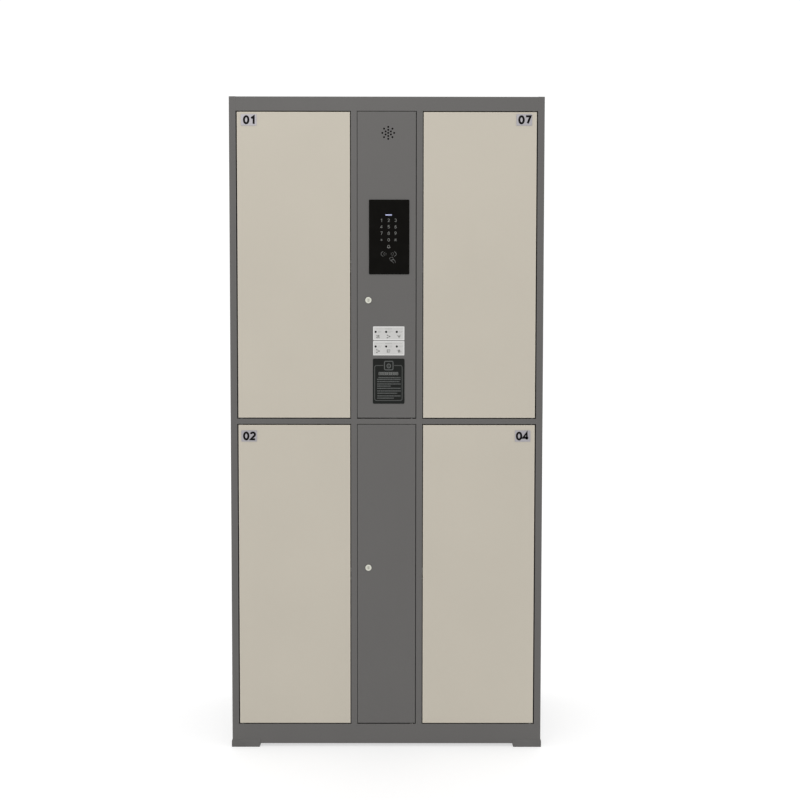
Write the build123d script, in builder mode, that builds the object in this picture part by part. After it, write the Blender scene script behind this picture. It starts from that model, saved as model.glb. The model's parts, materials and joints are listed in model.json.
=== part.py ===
"""Parcel locker: four large parcel compartments either side of a narrow service column.

Frame: X runs to the right as seen by a user, Y runs from the doors to the wall, Z is up.
The origin is the centre of the footprint, on the floor. All sizes are in millimetres.
"""
from build123d import *
import os

os.makedirs("parts", exist_ok=True)

# ---- cabinet ----
WIDTH = 886
DEPTH = 500
HEIGHT = 1850
UNDERSIDE = 10          # height of the steel body above the floor
SHEET = 1.0             # cabinet sheet thickness
BEND = 0.6              # tight fold radius
CORNER = 2.0            # soft vertical corners at the front

# ---- front frame ----
STILE = 19              # outer upright, as seen from the front
SIDE_OPENING = 323
MULLION = 17            # upright between a parcel column and the service column
HEADER = 40
MID_RAIL = 15
PLINTH_TOP = 66.5
FRAME_DEPTH = 22        # front face to the door stop lips
STOP_LIP = 10
RAIL_DEPTH = 21         # rails stop short of the folded corners of the stop lips
RAIL_LIP = 5
HEADER_LIP = 10
WALL_SETBACK = 5        # front face to the front edge of a partition

# ---- doors ----
DOOR_SHEET = 1.2
DOOR_DEPTH = 18
DOOR_EDGE = 1.5         # rounded front edges
HINGE_GAP = 3.2
LOCK_GAP = 2.4
END_GAP = 2.75          # above and below each door
CENTRE_HINGE_GAP = 1.9  # the service column doors sit closer in their openings
CENTRE_LOCK_GAP = 1.1
CENTRE_HEAD_GAP = 1.4

# ---- pivots ----
PIVOT_INSET = 9         # from the hinge edge of a parcel door
CENTRE_PIVOT_INSET = 9.9
PIVOT_SETBACK = 6       # behind the front face
PIN_RADIUS = 3
PIN_REACH = 5.5         # how far a pin stands in its bush
PIN_BLOCK = (15.8, 12.8, 12)
BUSH_RADIUS = 4.5
BUSH_BORE = 3.05
BUSH_COLLAR = 4.9
BUSH_COLLAR_THICK = 1.2
BUSH_LENGTH = 6

# ---- electric locks ----
CASE_THICK = 12
CASE_DEPTH = 54
CASE_HEIGHT = 74
CASE_SETBACK = 26       # front face of the cabinet to the front of a lock case
SLOT_DEPTH = 26
SLOT_HALF = 2.8         # half width of the slot, which the hook swings through
SLOT_CLEAR = 1.5        # below the hook
STRIKE_THICK = 2
STRIKE_REACH = 47       # front face of the cabinet to the tip of the hook
TONGUE = 7              # half height of the strike tongue
HOOK = 12               # how far the hook hangs below the centre of the lock
HOOK_WIDTH = 5.5
STRIKE_FOOT = 14        # half height of the strike inside the door
BOLT_SIZE = (5.4, 5.5, 18)
BOLT_SETBACK = 36.75    # front face of the cabinet to the centre of a bolt
BOLT_PLAY = 0.1
NOTCH_HEIGHT = 34       # gap in a stop lip that a strike passes through

# ---- key locks of the two service doors ----
KEY_LOCK_X = -51.7
CONTROL_LOCK_Z = 1281.1
SERVICE_LOCK_Z = 519.7
LOCK_HEAD = 8.8
LOCK_HEAD_PROUD = 2.5
LOCK_BARREL = 7.5
LOCK_PLUG = 4.95
LOCK_BORE = 5
PLUG_RECESS = 0.7       # face of the head to the face of the plug
CAM_SETBACK = 24        # front face to the front of the cam
CAM_THICK = 2.5
CAM_REACH = 30
CAM_WIDTH = 16
CAM_SQUARE = 7
NUT_PLAY = 0.1

# ---- things on the control door ----
SPEAKER_X = 4
SPEAKER_Z = 1749
SPEAKER_HOLE = 2.8
SPEAKER_RINGS = ((8.5, 6), (16.6, 8))   # radius of the ring, holes on it
GLASS_X = (-50.1, 63.6)
GLASS_Z = (1354, 1563)
GLASS_THICK = 2
GLASS_CORNER = 2.5
GLASS_LAP = 6           # glass edge to the edge of its cut-out
CUTOUT_CORNER = 3
LABEL_X = (-38.5, 50)
LABEL_Z = ((1168, 1207.3), (1125.6, 1166))
LABEL_THICK = 0.5
LABEL_CORNER = 1
NOTICE_X = (-39.1, 50.5)
NOTICE_Z = (988.6, 1116.2)
NOTICE_THICK = 1
NOTICE_CORNER = 3.5
TAG = (44, 32, 1)
TAG_CORNER = 1.5
TAG_CENTRES = {"01": (-387, 1784.6), "02": (-390.3, 896.5), "07": (385.3, 1785.6), "04": (386.3, 896.9)}

# ---- feet ----
FOOT_PROUD = 2
FOOT_LEVELS = ((0, 80.6, 0), (9, 81.2, 0), (13, 82.6, 0), (18, 84, 0.3), (21.5, 81, 1.7))   # height, length, inset

# ---- back panel fittings ----
ANCHOR_X = 300
ANCHOR_Z = (300, 1650)
ANCHOR_RADIUS = 4.5
SCREW_COUNT = 5
SCREW_SHANK = 2
SCREW_HEAD = 4.5
INLET_Z = 150
VENT_Z = (1030, 1720)   # middles of the two groups of cooling slots
VENT_SLOT = (80, 5)
VENT_ROWS = 6
VENT_PITCH = 12
DUCT_X = -62
DUCT_WIDTH = 25
DUCT_DEPTH = 30
DUCT_Z = (120, 1640)
INLET_BODY = (27.4, 19.6)
SUPPLY_BODY = (98, 38, 159)
SUPPLY_Z = 1260
CONTROLLER = (96, 50, 180)
CONTROLLER_Z = 1520

# ---- derived places ----
HALF = WIDTH / 2
FRONT = -DEPTH / 2
BACK = DEPTH / 2
STILE_X = HALF - STILE
MULLION_OUT = STILE_X - SIDE_OPENING
MULLION_IN = MULLION_OUT - MULLION
HEADER_LOW = HEIGHT - HEADER
OPENING_HEIGHT = (HEADER_LOW - PLINTH_TOP - MID_RAIL) / 2
MID_LOW = PLINTH_TOP + OPENING_HEIGHT
MID_HIGH = MID_LOW + MID_RAIL
STOP_Y = FRONT + FRAME_DEPTH            # front of the stop lips
INSIDE_Y = STOP_Y + SHEET               # front of the compartment space
PANEL_Y = BACK - SHEET                  # inner face of the back panel
FLANGE_Y = PANEL_Y - SHEET              # inner face of the rear flanges
RAIL_BACK = FRONT + RAIL_DEPTH
PIVOT_Y = FRONT + PIVOT_SETBACK
DOOR_INNER = FRONT + DOOR_SHEET
DOOR_BACK = FRONT + DOOR_DEPTH
SIDE_LEFT = (-STILE_X + HINGE_GAP, -MULLION_OUT - LOCK_GAP)
SIDE_RIGHT = (MULLION_OUT + LOCK_GAP, STILE_X - HINGE_GAP)
CENTRE = (-MULLION_IN + CENTRE_LOCK_GAP, MULLION_IN - CENTRE_HINGE_GAP)
UPPER = (MID_HIGH + END_GAP, HEADER_LOW - END_GAP)
LOWER = (PLINTH_TOP + END_GAP, MID_LOW - END_GAP)
CENTRE_UPPER = (UPPER[0], HEADER_LOW - CENTRE_HEAD_GAP)
CENTRE_LOWER = (LOWER[0], MID_LOW - CENTRE_HEAD_GAP)
LEFT_PIVOT = SIDE_LEFT[0] + PIVOT_INSET
RIGHT_PIVOT = SIDE_RIGHT[1] - PIVOT_INSET
CENTRE_PIVOT = CENTRE[1] - CENTRE_PIVOT_INSET
PIVOTS = (LEFT_PIVOT, CENTRE_PIVOT, RIGHT_PIVOT)
UPPER_LOCK = (MID_HIGH + HEADER_LOW) / 2
LOWER_LOCK = (PLINTH_TOP + MID_LOW) / 2
LOCK_HEIGHTS = (UPPER_LOCK, LOWER_LOCK)
CUTOUT_X = (GLASS_X[0] + GLASS_LAP, GLASS_X[1] - GLASS_LAP)
CUTOUT_Z = (GLASS_Z[0] + GLASS_LAP, GLASS_Z[1] - GLASS_LAP)
STRIKE_X = SIDE_LEFT[1] - DOOR_SHEET    # inner face of the lock-side flange of a left door
WALL_OUT = MULLION_OUT - SHEET          # outer face of a partition wall
WALL_IN = MULLION_IN + SHEET


def facing(y):
    """Vertical plane at depth y that faces the user, with X to the right and Z up."""
    return Plane.XZ.offset(-y)


def export(piece, label):
    """Name a finished piece and write it to its own file."""
    piece.part.label = label
    export_step(piece.part, f"parts/{label}.step")


def export_mirrored(piece, label):
    """Write the same piece for the other side of the cabinet."""
    with BuildPart() as other_side:
        mirror(piece.part, about=Plane.YZ)
    export(other_side, label)


def folded_section(points, radii, side):
    """Section of a folded sheet, given the line of one of its faces."""
    with BuildLine() as fold:
        FilletPolyline(*points, radius=radii)
        offset(amount=SHEET, side=side)
    make_face(fold.line.edges())


def rectangle(x_range, z_range, corner=0):
    """Upright rectangle between two pairs of limits, in the sketch being built."""
    centre = (sum(x_range) / 2, sum(z_range) / 2)
    size = (x_range[1] - x_range[0], z_range[1] - z_range[0])
    with Locations(centre):
        if corner:
            RectangleRounded(*size, corner)
        else:
            Rectangle(*size)


def screw_heights():
    """Heights of the screws along each edge of the back panel."""
    pitch = (HEIGHT - UNDERSIDE) / SCREW_COUNT
    return [UNDERSIDE + pitch * (count + 0.5) for count in range(SCREW_COUNT)]


# ---- sheet metal body ----
def side_panel():
    """Side sheet with the front stile and its stop lip, and the rear flange, folded from one piece."""
    outline = [
        (-STILE_X - SHEET, PANEL_Y),
        (-HALF, PANEL_Y),
        (-HALF, FRONT),
        (-STILE_X, FRONT),
        (-STILE_X, STOP_Y),
        (-STILE_X + STOP_LIP, STOP_Y),
    ]
    with BuildPart() as panel:
        with BuildSketch(Plane.XY.offset(UNDERSIDE)):
            folded_section(outline, [BEND, CORNER, BEND, BEND], Side.LEFT)
        extrude(amount=HEIGHT - UNDERSIDE)
        with BuildSketch(facing(PANEL_Y)):
            with Locations([(-HALF + STILE / 2, z) for z in screw_heights()]):
                Circle(SCREW_SHANK)
        extrude(amount=SHEET, mode=Mode.SUBTRACT)
        with BuildSketch(facing(INSIDE_Y)):
            with Locations([(-STILE_X + STOP_LIP / 2, z) for z in (UNDERSIDE, HEIGHT)]):
                Rectangle(STOP_LIP, 2 * SHEET)
        extrude(amount=SHEET + BEND, mode=Mode.SUBTRACT)
    export(panel, "side_panel_left")
    export_mirrored(panel, "side_panel_right")


def flat_panel(label, height, caps_stiles):
    """Horizontal sheet between the side panels, notched round their rear flanges."""
    inner = HALF - SHEET
    inside_stile = STILE_X + SHEET
    if caps_stiles:
        stile_end = FRONT + SHEET
        cap = [(inside_stile, stile_end), (inner - SHEET, stile_end), (inner, stile_end + SHEET)]
        corner = [(inside_stile, INSIDE_Y)] + cap
    else:
        corner = [(inner, INSIDE_Y)]
    rear = [(inner, FLANGE_Y), (inside_stile, FLANGE_Y), (inside_stile, PANEL_Y)]
    right_edge = corner + rear
    left_edge = [(-x, y) for x, y in reversed(right_edge)]
    with BuildPart() as panel:
        with BuildSketch(Plane.XY.offset(height)):
            with BuildLine():
                Polyline(*right_edge, *left_edge, close=True)
            make_face()
        extrude(amount=SHEET)
    export(panel, label)


def back_panel():
    """Rear sheet with four wall anchor holes, cooling slots and the cut-out of the mains inlet."""
    hole_play = 0.6
    with BuildPart() as panel:
        with BuildSketch(facing(BACK)):
            rectangle((-HALF + SHEET, HALF - SHEET), (UNDERSIDE, HEIGHT))
            with Locations([(x, z) for x in (-ANCHOR_X, ANCHOR_X) for z in ANCHOR_Z]):
                Circle(ANCHOR_RADIUS, mode=Mode.SUBTRACT)
            with Locations([(x, z) for x in (-HALF + STILE / 2, HALF - STILE / 2) for z in screw_heights()]):
                Circle(SCREW_SHANK, mode=Mode.SUBTRACT)
            with Locations((0, INLET_Z)):
                Rectangle(INLET_BODY[0] + hole_play, INLET_BODY[1] + hole_play, mode=Mode.SUBTRACT)
            with Locations([(0, z) for z in VENT_Z]):
                with GridLocations(0, VENT_PITCH, 1, VENT_ROWS):
                    SlotOverall(*VENT_SLOT, mode=Mode.SUBTRACT)
        extrude(amount=SHEET)
    export(panel, "back_panel")


def back_panel_screws():
    """Pan-head screws with cross recesses, down both edges of the back panel."""
    head_height = 1.8
    head_edge = 0.8
    recess = (5, 1.1)
    recess_depth = 0.9
    with BuildPart() as screws:
        spots = [(x, z) for x in (-HALF + STILE / 2, HALF - STILE / 2) for z in screw_heights()]
        with BuildSketch(facing(BACK)):
            with Locations(spots):
                Circle(SCREW_HEAD)
        extrude(amount=-head_height)
        chamfer(screws.edges().group_by(Axis.Y)[-1], length=head_edge)
        with BuildSketch(facing(BACK)):
            with Locations(spots):
                Circle(SCREW_SHANK)
        extrude(amount=2 * SHEET)
        with BuildSketch(facing(BACK + head_height)):
            with Locations(spots):
                Rectangle(recess[0], recess[1])
                Rectangle(recess[1], recess[0])
        extrude(amount=recess_depth, mode=Mode.SUBTRACT)
    export(screws, "back_panel_screws")


def partition():
    """Double wall beside the service column. It starts further back where it passes the header."""
    front = FRONT + WALL_SETBACK
    stages = (
        (PLINTH_TOP, HEADER_LOW, front),
        (HEADER_LOW, HEIGHT - SHEET, front + FRAME_DEPTH),
    )
    with BuildPart() as wall:
        for low, high, start in stages:
            outline = [(-WALL_OUT, start), (-WALL_OUT, PANEL_Y), (-WALL_IN, PANEL_Y), (-WALL_IN, start)]
            with BuildSketch(Plane.XY.offset(low)):
                folded_section(outline, BEND, Side.RIGHT)
            extrude(amount=high - low)
    export(wall, "partition_left")
    export_mirrored(wall, "partition_right")


def shelves():
    """Three shelf trays: a flat deck with its two sides folded down on to the walls."""
    inner = HALF - SHEET
    drop = MID_RAIL
    duct_play = 2
    spans = ((-inner, -WALL_OUT), (-WALL_IN, WALL_IN), (WALL_OUT, inner))
    with BuildPart() as trays:
        for left, right in spans:
            outline = [
                (left, MID_HIGH - drop),
                (left, MID_HIGH),
                (right, MID_HIGH),
                (right, MID_HIGH - drop),
            ]
            with BuildSketch(facing(INSIDE_Y)):
                folded_section(outline, BEND, Side.RIGHT)
            extrude(amount=INSIDE_Y - FLANGE_Y)
        with BuildSketch(Plane.XY.offset(MID_HIGH)):
            with Locations((DUCT_X, PANEL_Y)):
                Rectangle(DUCT_WIDTH + 2 * duct_play, 2 * (DUCT_DEPTH + duct_play))
        extrude(amount=-SHEET, mode=Mode.SUBTRACT)
    export(trays, "shelves")


# ---- front frame ----
def cut_bush_holes(z, into):
    """Cut the bush holes through a rail face at height z."""
    with BuildSketch(Plane.XY.offset(z)) as holes:
        with Locations([(x, PIVOT_Y) for x in PIVOTS]):
            Circle(BUSH_RADIUS)
    extrude(holes.sketch, amount=into, mode=Mode.SUBTRACT)


def header_rail():
    """Rail over the upper doors, folded back under the top panel."""
    outline = [
        (INSIDE_Y, HEIGHT),
        (FRONT, HEIGHT),
        (FRONT, HEADER_LOW),
        (RAIL_BACK, HEADER_LOW),
        (RAIL_BACK, HEADER_LOW + HEADER_LIP),
    ]
    with BuildPart() as rail:
        with BuildSketch(Plane.YZ.offset(-STILE_X)):
            folded_section(outline, [CORNER, BEND, BEND], Side.LEFT)
        extrude(amount=2 * STILE_X)
        cut_bush_holes(HEADER_LOW, SHEET)
    export(rail, "header_rail")


def plinth_rail():
    """Rail under the lower doors, down to the bottom panel."""
    outline = [
        (INSIDE_Y, UNDERSIDE),
        (FRONT, UNDERSIDE),
        (FRONT, PLINTH_TOP),
        (RAIL_BACK, PLINTH_TOP),
        (RAIL_BACK, PLINTH_TOP - HEADER_LIP),
    ]
    with BuildPart() as rail:
        with BuildSketch(Plane.YZ.offset(-STILE_X)):
            folded_section(outline, BEND, Side.RIGHT)
        extrude(amount=2 * STILE_X)
        cut_bush_holes(PLINTH_TOP, -SHEET)
    export(rail, "plinth_rail")


def mid_rails():
    """The three rails between the upper and the lower doors."""
    outline = [
        (RAIL_BACK, MID_LOW + RAIL_LIP),
        (RAIL_BACK, MID_LOW),
        (FRONT, MID_LOW),
        (FRONT, MID_HIGH),
        (RAIL_BACK, MID_HIGH),
        (RAIL_BACK, MID_HIGH - RAIL_LIP),
    ]
    spans = ((-STILE_X, -MULLION_OUT), (-MULLION_IN, MULLION_IN), (MULLION_OUT, STILE_X))
    with BuildPart() as rails:
        for left, right in spans:
            with BuildSketch(Plane.YZ.offset(left)):
                folded_section(outline, BEND, Side.RIGHT)
            extrude(amount=right - left)
        cut_bush_holes(MID_LOW, SHEET)
        cut_bush_holes(MID_HIGH, -SHEET)
    export(rails, "mid_rails")


def mullion():
    """Hat section upright. Its outer lip is notched where the strikes pass."""
    outline = [
        (-MULLION_OUT - STOP_LIP, STOP_Y),
        (-MULLION_OUT, STOP_Y),
        (-MULLION_OUT, FRONT),
        (-MULLION_IN, FRONT),
        (-MULLION_IN, STOP_Y),
        (-MULLION_IN + STOP_LIP, STOP_Y),
    ]
    with BuildPart() as upright:
        with BuildSketch(Plane.XY.offset(PLINTH_TOP)):
            folded_section(outline, BEND, Side.LEFT)
        extrude(amount=HEADER_LOW - PLINTH_TOP)
        with BuildSketch(facing(INSIDE_Y)):
            with Locations([(-MULLION_OUT - STOP_LIP / 2 - BEND, z) for z in LOCK_HEIGHTS]):
                Rectangle(STOP_LIP, NOTCH_HEIGHT)
        extrude(amount=SHEET, mode=Mode.SUBTRACT)
    export(upright, "mullion_left")
    export_mirrored(upright, "mullion_right")


def hinge_bushes():
    """Plastic sleeves that the pivot pins turn in, two to a door."""
    faces = ((HEADER_LOW, 1), (MID_HIGH, -1), (MID_LOW, 1), (PLINTH_TOP, -1))
    with BuildPart() as bushes:
        for z, way in faces:
            with BuildSketch(Plane.XY.offset(z)):
                with Locations([(x, PIVOT_Y) for x in PIVOTS]):
                    Circle(BUSH_RADIUS)
            extrude(amount=way * BUSH_LENGTH)
            with BuildSketch(Plane.XY.offset(z + way * SHEET)):
                with Locations([(x, PIVOT_Y) for x in PIVOTS]):
                    Circle(BUSH_COLLAR)
            extrude(amount=way * BUSH_COLLAR_THICK)
            with BuildSketch(Plane.XY.offset(z)):
                with Locations([(x, PIVOT_Y) for x in PIVOTS]):
                    Circle(BUSH_BORE)
            extrude(amount=way * BUSH_LENGTH, mode=Mode.SUBTRACT)
    export(bushes, "hinge_bushes")


def door_buffers():
    """Rubber buttons on the lock-side stop lips, just clear of the closed doors."""
    clearance = 0.3
    radius = 3.8
    edge = 0.6
    from_end = 60
    lock_lips = (-MULLION_OUT - STOP_LIP / 2, MULLION_OUT + STOP_LIP / 2, -MULLION_IN + STOP_LIP / 2)
    heights = [UPPER[0] + from_end, UPPER[1] - from_end, LOWER[0] + from_end, LOWER[1] - from_end]
    with BuildPart() as buffers:
        with BuildSketch(facing(STOP_Y)):
            with Locations([(x, z) for x in lock_lips for z in heights]):
                Circle(radius)
        extrude(amount=STOP_Y - DOOR_BACK - clearance)
        chamfer(buffers.edges().group_by(Axis.Y)[0], length=edge)
    export(buffers, "door_buffers")


def feet():
    """Moulded corner shoes that stand 10 mm tall and wrap 2 mm proud of the body."""
    def level(height, length, inset):
        outer_x = -HALF - FOOT_PROUD
        outer_y = FRONT - FOOT_PROUD
        x_range = (outer_x + inset, outer_x + length)
        y_range = (outer_y + inset, outer_y + length)
        with BuildSketch(Plane.XY.offset(height)) as outline:
            rectangle(x_range, y_range, FOOT_PROUD)
        return outline.sketch

    levels = [level(*values) for values in FOOT_LEVELS]
    with BuildPart() as shoe:
        for lower, upper in zip(levels, levels[1:]):
            loft([lower, upper])
        with Locations((0, 0, UNDERSIDE)):
            Box(WIDTH, DEPTH, HEIGHT, align=(Align.CENTER, Align.CENTER, Align.MIN), mode=Mode.SUBTRACT)
    with BuildPart() as four:
        add(shoe.part)
        mirror(shoe.part, about=Plane.YZ)
        mirror(shoe.part, about=Plane.XZ)
        mirror(mirror(shoe.part, about=Plane.YZ, mode=Mode.PRIVATE), about=Plane.XZ)
    export(four, "feet")


# ---- doors ----
def door_pan(x_range, z_range, pivot_x):
    """Door skin folded into a shallow tray, with a pin hole in each end flange."""
    width = x_range[1] - x_range[0]
    height = z_range[1] - z_range[0]
    centre = (sum(x_range) / 2, sum(z_range) / 2)
    with BuildPart() as pan:
        with BuildSketch(facing(FRONT)):
            with Locations(centre):
                Rectangle(width, height)
        extrude(amount=-DOOR_DEPTH)
        fillet(pan.edges().group_by(Axis.Y)[0], radius=DOOR_EDGE)
        with BuildSketch(facing(DOOR_INNER)):
            with Locations(centre):
                Rectangle(width - 2 * DOOR_SHEET, height - 2 * DOOR_SHEET)
        extrude(amount=-DOOR_DEPTH, mode=Mode.SUBTRACT)
        with BuildSketch(Plane.XY.offset(z_range[0])):
            with Locations((pivot_x, PIVOT_Y)):
                Circle(PIN_RADIUS)
        extrude(amount=height, mode=Mode.SUBTRACT)
    return pan


def hinge_pins(x_range, z_range, pivot_x, head_gap=END_GAP):
    """Two steel blocks welded in the corners of a door, each with its pivot pin."""
    away = 1 if pivot_x < sum(x_range) / 2 else -1
    edge = x_range[0] + DOOR_SHEET if away > 0 else x_range[1] - DOOR_SHEET
    block_x = edge + away * PIN_BLOCK[0] / 2
    block_y = DOOR_INNER + PIN_BLOCK[1] / 2
    with BuildPart() as pins:
        for end, way, gap in ((z_range[0], 1, END_GAP), (z_range[1], -1, head_gap)):
            flange = end + way * DOOR_SHEET
            with BuildSketch(Plane.XY.offset(flange)):
                with Locations((block_x, block_y)):
                    Rectangle(PIN_BLOCK[0], PIN_BLOCK[1])
            extrude(amount=way * PIN_BLOCK[2])
            with BuildSketch(Plane.XY.offset(flange)):
                with Locations((pivot_x, PIVOT_Y)):
                    Circle(PIN_RADIUS)
            extrude(amount=-way * (DOOR_SHEET + gap + PIN_REACH))
    return pins


def strike(lock_z):
    """Flat steel hook on the lock side of a left-hand door."""
    tip = FRONT + STRIKE_REACH
    with BuildPart() as hook:
        with BuildSketch(Plane.YZ.offset(STRIKE_X)):
            with BuildLine():
                Polyline(
                    (DOOR_INNER, lock_z + STRIKE_FOOT),
                    (DOOR_BACK - BEND, lock_z + STRIKE_FOOT),
                    (DOOR_BACK - BEND, lock_z + TONGUE),
                    (tip, lock_z + TONGUE),
                    (tip, lock_z - HOOK),
                    (tip - HOOK_WIDTH, lock_z - HOOK),
                    (tip - HOOK_WIDTH, lock_z - TONGUE),
                    (DOOR_BACK - BEND, lock_z - TONGUE),
                    (DOOR_BACK - BEND, lock_z - STRIKE_FOOT),
                    (DOOR_INNER, lock_z - STRIKE_FOOT),
                    close=True,
                )
            make_face()
        extrude(amount=-STRIKE_THICK)
    return hook


def stiffener(x_range, z_range):
    """Hat section welded up the middle of a door."""
    middle = sum(x_range) / 2
    crown = 20
    foot = 36
    height = 13
    outline = [
        (middle - foot, DOOR_INNER),
        (middle - crown, DOOR_INNER),
        (middle - crown, DOOR_INNER + height),
        (middle + crown, DOOR_INNER + height),
        (middle + crown, DOOR_INNER),
        (middle + foot, DOOR_INNER),
    ]
    short = 45
    with BuildPart() as hat:
        with BuildSketch(Plane.XY.offset(z_range[0] + short)):
            folded_section(outline, [BEND, BEND, BEND, BEND], Side.LEFT)
        extrude(amount=z_range[1] - z_range[0] - 2 * short)
    return hat


def number_tag(centre):
    """Small metal plate that carries the compartment number."""
    with BuildPart() as tag:
        with BuildSketch(facing(FRONT)):
            with Locations(centre):
                RectangleRounded(TAG[0], TAG[1], TAG_CORNER)
        extrude(amount=TAG[2])
    return tag


def parcel_doors():
    """The four parcel doors: 01 over 02 on the left, 07 over 04 on the right."""
    places = (("01", SIDE_LEFT, UPPER, UPPER_LOCK), ("02", SIDE_LEFT, LOWER, LOWER_LOCK),
              ("07", SIDE_RIGHT, UPPER, UPPER_LOCK), ("04", SIDE_RIGHT, LOWER, LOWER_LOCK))
    for number, x_range, z_range, lock_z in places:
        pivot_x = LEFT_PIVOT if x_range == SIDE_LEFT else RIGHT_PIVOT
        export(door_pan(x_range, z_range, pivot_x), f"door_{number}_panel")
        export(stiffener(x_range, z_range), f"door_{number}_stiffener")
        export(hinge_pins(x_range, z_range, pivot_x), f"door_{number}_hinge_pins")
        export(number_tag(TAG_CENTRES[number]), f"door_{number}_number_tag")
        if x_range == SIDE_LEFT:
            export(strike(lock_z), f"door_{number}_strike")
        else:
            export_mirrored(strike(lock_z), f"door_{number}_strike")


# ---- electric locks ----
def lock_cases():
    """Four flat cases on the partition walls, slotted for the hooks and bored for the bolts."""
    case_front = FRONT + CASE_SETBACK
    case_corner = 2
    headroom = 2
    chamber = 22
    with BuildPart() as left_pair:
        for lock_z in LOCK_HEIGHTS:
            slot_floor = lock_z - HOOK - SLOT_CLEAR
            with BuildSketch(Plane.YZ.offset(-WALL_OUT - CASE_THICK)):
                with Locations((case_front + CASE_DEPTH / 2, lock_z)):
                    RectangleRounded(CASE_DEPTH, CASE_HEIGHT, case_corner)
            extrude(amount=CASE_THICK)
            with BuildSketch(facing(case_front)):
                slot_z = (slot_floor, lock_z + TONGUE + headroom)
                rectangle((STRIKE_X - SLOT_HALF, STRIKE_X + SLOT_HALF), slot_z)
            extrude(amount=-SLOT_DEPTH, mode=Mode.SUBTRACT)
            with BuildSketch(Plane.XY.offset(slot_floor)):
                with Locations((STRIKE_X, FRONT + BOLT_SETBACK)):
                    Rectangle(2 * SLOT_HALF, BOLT_SIZE[1] + 2 * BOLT_PLAY)
            extrude(amount=-chamber, mode=Mode.SUBTRACT)
    with BuildPart() as cases:
        add(left_pair.part)
        mirror(left_pair.part, about=Plane.YZ)
    export(cases, "lock_cases")


def lock_bolts():
    """Each bolt in its lowered, unlocked place. It rises in front of the hook to lock."""
    for number, side, lock_z in (("01", -1, UPPER_LOCK), ("02", -1, LOWER_LOCK),
                                 ("07", 1, UPPER_LOCK), ("04", 1, LOWER_LOCK)):
        with BuildPart() as bolt:
            with BuildSketch(Plane.XY.offset(lock_z - HOOK - SLOT_CLEAR)):
                with Locations((side * abs(STRIKE_X), FRONT + BOLT_SETBACK)):
                    Rectangle(BOLT_SIZE[0], BOLT_SIZE[1])
            extrude(amount=-BOLT_SIZE[2])
        export(bolt, f"lock_{number}_bolt")


# ---- service column doors ----
def control_door():
    """Upper service column door, which carries the keypad, the speaker, the labels and a key lock."""
    with BuildPart() as door:
        add(door_pan(CENTRE, CENTRE_UPPER, CENTRE_PIVOT).part)
        with BuildSketch(facing(FRONT)):
            rectangle(CUTOUT_X, CUTOUT_Z, CUTOUT_CORNER)
            with Locations((KEY_LOCK_X, CONTROL_LOCK_Z)):
                Circle(LOCK_BARREL + NUT_PLAY)
            with Locations((SPEAKER_X, SPEAKER_Z)):
                Circle(SPEAKER_HOLE)
                for radius, count in SPEAKER_RINGS:
                    with PolarLocations(radius, count, start_angle=90):
                        Circle(SPEAKER_HOLE)
        extrude(amount=-2 * DOOR_SHEET, mode=Mode.SUBTRACT)
    export(door, "control_door_panel")
    pins = hinge_pins(CENTRE, CENTRE_UPPER, CENTRE_PIVOT, CENTRE_HEAD_GAP)
    export(pins, "control_door_hinge_pins")


def service_door():
    """Lower service column door, plain but for its key lock."""
    with BuildPart() as door:
        add(door_pan(CENTRE, CENTRE_LOWER, CENTRE_PIVOT).part)
        with BuildSketch(facing(FRONT)):
            with Locations((KEY_LOCK_X, SERVICE_LOCK_Z)):
                Circle(LOCK_BARREL + NUT_PLAY)
        extrude(amount=-2 * DOOR_SHEET, mode=Mode.SUBTRACT)
    export(door, "service_door_panel")
    pins = hinge_pins(CENTRE, CENTRE_LOWER, CENTRE_PIVOT, CENTRE_HEAD_GAP)
    export(pins, "service_door_hinge_pins")


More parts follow.
